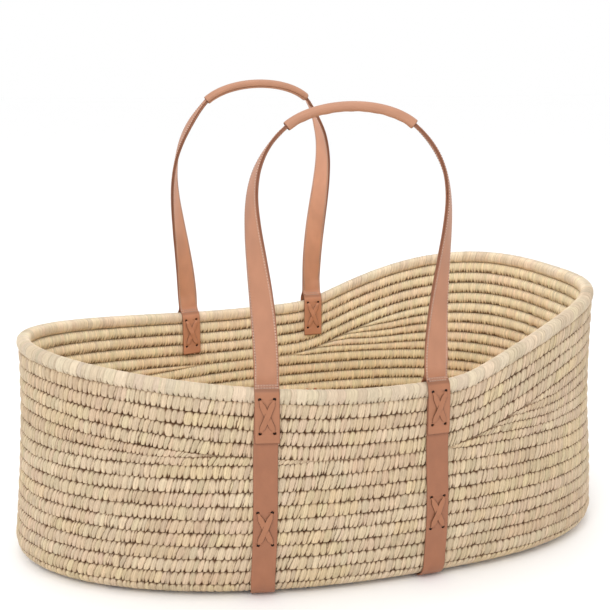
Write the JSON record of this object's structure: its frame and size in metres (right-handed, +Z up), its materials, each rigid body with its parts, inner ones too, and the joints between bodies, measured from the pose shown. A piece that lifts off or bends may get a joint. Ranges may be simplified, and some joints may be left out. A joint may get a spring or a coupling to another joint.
{
  "type": "moses basket",
  "caption": "Oval coiled palm-leaf baby basket with a raised head end, leather straps laced through the wall and swinging carrying handles.",
  "frame": {"origin": "on the floor under the middle of the basket's bounding box", "axes": "+X runs along the basket from the foot end to the raised head end, -Y is the front side, +Z is up"},
  "size_m": [0.828, 0.5214, 0.6282],
  "materials": {
    "palm_coil": "matt coiled palm leaf",
    "palm_rim": "smooth pale palm leaf binding",
    "leather_strap": "satin tan leather",
    "leather_grip": "rolled satin tan leather",
    "leather_thong": "satin tan leather thong"
  },
  "bodies": {
    "basket": {"base_mat": "palm_coil", "lower_course_01": "palm_coil", "lower_course_02": "palm_coil", "lower_course_03": "palm_coil", "lower_course_04": "palm_coil", "lower_course_05": "palm_coil", "lower_course_06": "palm_coil", "lower_course_07": "palm_coil", "lower_course_08": "palm_coil", "lower_course_09": "palm_coil", "lower_course_10": "palm_coil", "hood_course_1": "palm_coil", "hood_course_2": "palm_coil", "hood_course_3": "palm_coil", "hood_course_4": "palm_coil", "hood_course_5": "palm_coil", "foot_course_1": "palm_coil", "foot_course_2": "palm_coil", "upper_course_1": "palm_coil", "upper_course_2": "palm_coil", "upper_course_3": "palm_coil", "upper_course_4": "palm_coil", "rim_binding": "palm_rim", "foot_under_strap": "leather_strap", "head_under_strap": "leather_strap", "front_foot_outer_tab": "leather_strap", "front_foot_inner_tab": "leather_strap", "front_head_outer_tab": "leather_strap", "front_head_inner_tab": "leather_strap", "rear_foot_outer_tab": "leather_strap", "rear_foot_inner_tab": "leather_strap", "rear_head_outer_tab": "leather_strap", "rear_head_inner_tab": "leather_strap", "front_foot_tab_lace": "leather_thong", "front_foot_strap_lace": "leather_thong", "front_head_tab_lace": "leather_thong", "front_head_strap_lace": "leather_thong", "rear_foot_tab_lace": "leather_thong", "rear_foot_strap_lace": "leather_thong", "rear_head_tab_lace": "leather_thong", "rear_head_strap_lace": "leather_thong"},
    "front_handle": {"front_handle_outer_ply": "leather_strap", "front_handle_inner_ply": "leather_strap", "front_grip_sleeve": "leather_grip"},
    "rear_handle": {"rear_handle_outer_ply": "leather_strap", "rear_handle_inner_ply": "leather_strap", "rear_grip_sleeve": "leather_grip"}
  },
  "joints": [
    {"name": "front_handle_swing", "type": "hinge", "parent": "basket", "child": "front_handle", "pos_m": [-0.02021, -0.23216, 0.28789], "axis": [0.9959, -0.0876, -0.0238], "range_deg": [-30, 146]},
    {"name": "rear_handle_swing", "type": "hinge", "parent": "basket", "child": "rear_handle", "pos_m": [-0.02021, 0.23216, 0.29198], "axis": [-0.995, -0.0875, -0.0487], "range_deg": [-30, 146]}
  ]
}
